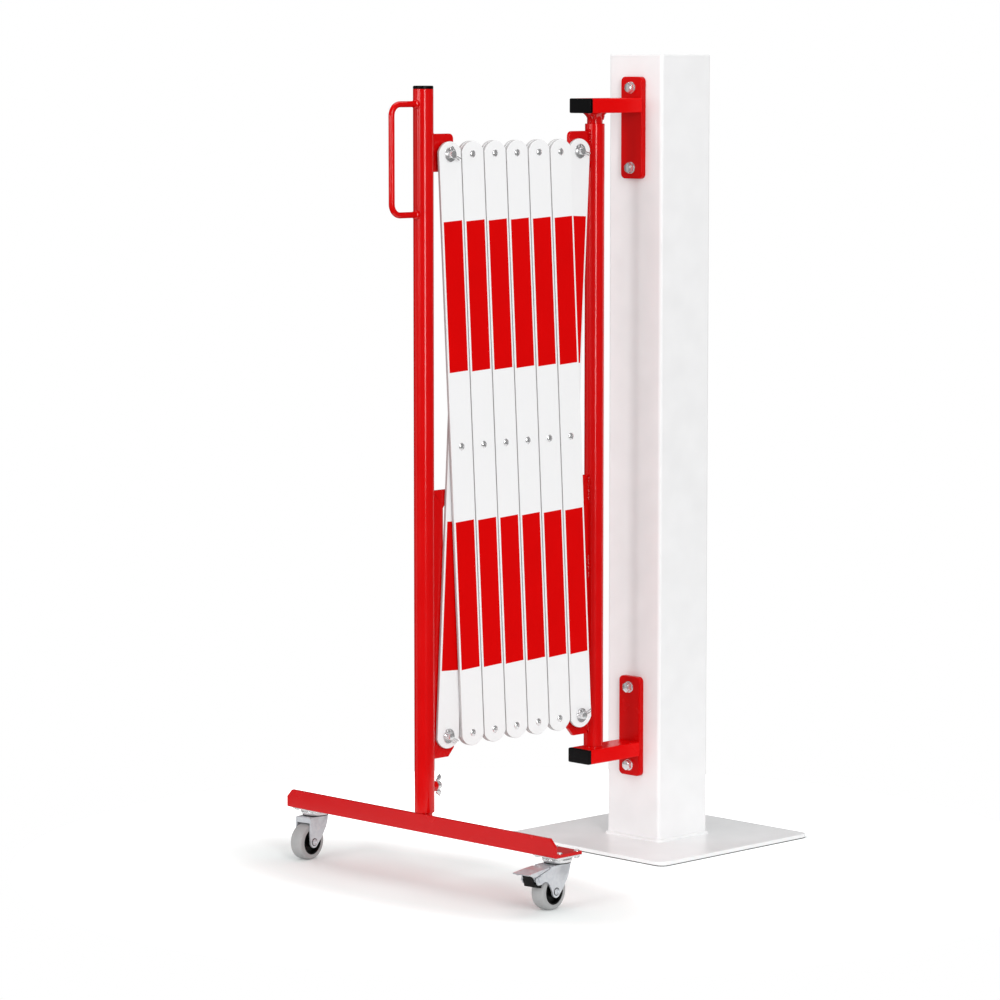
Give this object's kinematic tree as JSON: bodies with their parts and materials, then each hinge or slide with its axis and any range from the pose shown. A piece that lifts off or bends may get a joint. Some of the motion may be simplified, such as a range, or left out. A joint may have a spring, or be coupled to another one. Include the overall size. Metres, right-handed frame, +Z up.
{
  "type": "expanding scissor barrier",
  "caption": "Red and white expanding scissor barrier on a fixed square post, with a swinging pivot tube, a rolling post with handle, and a braked castor foot.",
  "frame": {"origin": "centre of the base plate's underside, on the axis of the fixed post, on the ground", "axes": "+Z up, +X from the folded barrier towards the fixed post, so the barrier extends towards -X; the front bars face -Y"},
  "size_m": [0.6678, 0.517, 1.1],
  "materials": {
    "white_coat": "smooth gloss powder coat",
    "red_coat": "smooth gloss powder coat",
    "striped_bar": "white coat with red reflective film bands",
    "zinc": "bright zinc plate",
    "black_plastic": "satin moulded plastic",
    "grey_rubber": "smooth non-marking rubber"
  },
  "bodies": {
    "fixed_post": {"base_plate": "white_coat", "post_tube": "white_coat", "post_cap": "white_coat", "post_rivet_nuts": "zinc", "bracket_bolts": "zinc", "upper_bracket_plate": "red_coat", "upper_bracket_arm": "red_coat", "upper_arm_cap": "black_plastic", "lower_bracket_plate": "red_coat", "lower_bracket_arm": "red_coat", "lower_arm_cap": "black_plastic", "upper_spigot": "red_coat", "lower_spigot": "red_coat"},
    "pivot_post": {"pivot_tube": "red_coat", "pivot_tube_lug": "red_coat", "pivot_tube_slot_plate": "red_coat", "pivot_top_pin": "zinc"},
    "rolling_post": {"rolling_tube": "red_coat", "rolling_tube_cap": "black_plastic", "pull_handle": "red_coat", "rolling_tube_lug": "red_coat", "rolling_tube_slot_plate": "red_coat", "rolling_top_pin": "zinc", "weld_nut": "red_coat"},
    "wing_screw": {"wing_screw": "zinc"},
    "foot": {"foot_angle": "red_coat", "foot_spigot": "red_coat", "castor_bolts": "zinc", "front_castor_head": "zinc", "back_castor_head": "zinc"},
    "front_castor": {"front_castor_fork": "zinc", "front_castor_axle": "zinc"},
    "back_castor": {"back_castor_fork": "zinc", "back_castor_axle": "zinc"},
    "front_wheel": {"front_wheel_tyre": "grey_rubber", "front_wheel_core": "black_plastic"},
    "back_wheel": {"back_wheel_tyre": "grey_rubber", "back_wheel_core": "black_plastic"},
    "brake": {"brake_pedal": "zinc", "brake_shoe": "black_plastic"},
    "front_bar_1": {"front_bar_1": "striped_bar", "bar_rivets_1": "zinc"},
    "rear_bar_1": {"rear_bar_1": "striped_bar", "rolling_slot_pin": "zinc"},
    "front_bar_2": {"front_bar_2": "striped_bar", "bar_rivets_2": "zinc"},
    "rear_bar_2": {"rear_bar_2": "striped_bar"},
    "front_bar_3": {"front_bar_3": "striped_bar", "bar_rivets_3": "zinc"},
    "rear_bar_3": {"rear_bar_3": "striped_bar"},
    "front_bar_4": {"front_bar_4": "striped_bar", "bar_rivets_4": "zinc"},
    "rear_bar_4": {"rear_bar_4": "striped_bar"},
    "front_bar_5": {"front_bar_5": "striped_bar", "bar_rivets_5": "zinc"},
    "rear_bar_5": {"rear_bar_5": "striped_bar"},
    "front_bar_6": {"front_bar_6": "striped_bar", "bar_rivets_6": "zinc", "pivot_slot_pin": "zinc"},
    "rear_bar_6": {"rear_bar_6": "striped_bar"}
  },
  "joints": [
    {"name": "gate_swing", "type": "hinge", "parent": "fixed_post", "child": "pivot_post", "pos_m": [-0.13, 0, 0.583], "axis": [0, 0, 1], "range_deg": [-120, 120]},
    {"name": "barrier_extend", "type": "hinge", "parent": "pivot_post", "child": "rear_bar_6", "pos_m": [-0.167, -0.0055, 0.97], "axis": [0, 1, 0], "range_deg": [0, 49]},
    {"name": "middle_pivot_6", "type": "hinge", "parent": "rear_bar_6", "child": "front_bar_6", "pos_m": [-0.1878, -0.008, 0.58256], "axis": [0, 1, 0], "range_deg": [-98, 0]},
    {"name": "bottom_pivot_5", "type": "hinge", "parent": "rear_bar_6", "child": "front_bar_5", "pos_m": [-0.2086, -0.008, 0.19512], "axis": [0, 1, 0], "range_deg": [-98, 0]},
    {"name": "middle_pivot_5", "type": "hinge", "parent": "front_bar_5", "child": "rear_bar_5", "pos_m": [-0.2294, -0.008, 0.58256], "axis": [0, 1, 0], "range_deg": [0, 98]},
    {"name": "top_pivot_4", "type": "hinge", "parent": "front_bar_5", "child": "rear_bar_4", "pos_m": [-0.2502, -0.008, 0.97], "axis": [0, 1, 0], "range_deg": [0, 98]},
    {"name": "middle_pivot_4", "type": "hinge", "parent": "rear_bar_4", "child": "front_bar_4", "pos_m": [-0.271, -0.008, 0.58256], "axis": [0, 1, 0], "range_deg": [-98, 0]},
    {"name": "bottom_pivot_3", "type": "hinge", "parent": "rear_bar_4", "child": "front_bar_3", "pos_m": [-0.2918, -0.008, 0.19512], "axis": [0, 1, 0], "range_deg": [-98, 0]},
    {"name": "middle_pivot_3", "type": "hinge", "parent": "front_bar_3", "child": "rear_bar_3", "pos_m": [-0.3126, -0.008, 0.58256], "axis": [0, 1, 0], "range_deg": [0, 98]},
    {"name": "top_pivot_2", "type": "hinge", "parent": "front_bar_3", "child": "rear_bar_2", "pos_m": [-0.3334, -0.008, 0.97], "axis": [0, 1, 0], "range_deg": [0, 98]},
    {"name": "middle_pivot_2", "type": "hinge", "parent": "rear_bar_2", "child": "front_bar_2", "pos_m": [-0.3542, -0.008, 0.58256], "axis": [0, 1, 0], "range_deg": [-98, 0]},
    {"name": "bottom_pivot_1", "type": "hinge", "parent": "rear_bar_2", "child": "front_bar_1", "pos_m": [-0.375, -0.008, 0.19512], "axis": [0, 1, 0], "range_deg": [-98, 0]},
    {"name": "middle_pivot_1", "type": "hinge", "parent": "front_bar_1", "child": "rear_bar_1", "pos_m": [-0.3958, -0.008, 0.58256], "axis": [0, 1, 0], "range_deg": [0, 98]},
    {"name": "rolling_post_pivot", "type": "hinge", "parent": "front_bar_1", "child": "rolling_post", "pos_m": [-0.4166, -0.0105, 0.97], "axis": [0, 1, 0], "range_deg": [0, 49]},
    {"name": "foot_height", "type": "slide", "parent": "rolling_post", "child": "foot", "axis": [0, 0, -1], "range_m": [0, 0.06]},
    {"name": "wing_screw_turn", "type": "hinge", "parent": "rolling_post", "child": "wing_screw", "pos_m": [-0.4336, 0, 0.129], "axis": [1, 0, 0], "range_deg": [-180, 180]},
    {"name": "front_castor_swivel", "type": "hinge", "parent": "foot", "child": "front_castor", "pos_m": [-0.4387, -0.2335, 0.065], "axis": [0, 0, 1], "continuous": true},
    {"name": "front_wheel_roll", "type": "hinge", "parent": "front_castor", "child": "front_wheel", "pos_m": [-0.4569, -0.23541, 0.025], "axis": [-0.1045, 0.9945, 0], "continuous": true},
    {"name": "back_castor_swivel", "type": "hinge", "parent": "foot", "child": "back_castor", "pos_m": [-0.4387, 0.2335, 0.065], "axis": [0, 0, 1], "continuous": true},
    {"name": "back_wheel_roll", "type": "hinge", "parent": "back_castor", "child": "back_wheel", "pos_m": [-0.45684, 0.23111, 0.025], "axis": [-0.1305, 0.9914, 0], "continuous": true},
    {"name": "brake_press", "type": "hinge", "parent": "front_castor", "child": "brake", "pos_m": [-0.48962, -0.23885, 0.0462], "axis": [0.1045, -0.9945, 0], "range_deg": [0, 8]}
  ],
  "couplings": [
    {"joint": "middle_pivot_6", "follows": "barrier_extend", "ratio": -2},
    {"joint": "bottom_pivot_5", "follows": "barrier_extend", "ratio": -2},
    {"joint": "middle_pivot_5", "follows": "barrier_extend", "ratio": 2},
    {"joint": "top_pivot_4", "follows": "barrier_extend", "ratio": 2},
    {"joint": "middle_pivot_4", "follows": "barrier_extend", "ratio": -2},
    {"joint": "bottom_pivot_3", "follows": "barrier_extend", "ratio": -2},
    {"joint": "middle_pivot_3", "follows": "barrier_extend", "ratio": 2},
    {"joint": "top_pivot_2", "follows": "barrier_extend", "ratio": 2},
    {"joint": "middle_pivot_2", "follows": "barrier_extend", "ratio": -2},
    {"joint": "bottom_pivot_1", "follows": "barrier_extend", "ratio": -2},
    {"joint": "middle_pivot_1", "follows": "barrier_extend", "ratio": 2},
    {"joint": "rolling_post_pivot", "follows": "barrier_extend", "ratio": 1}
  ]
}
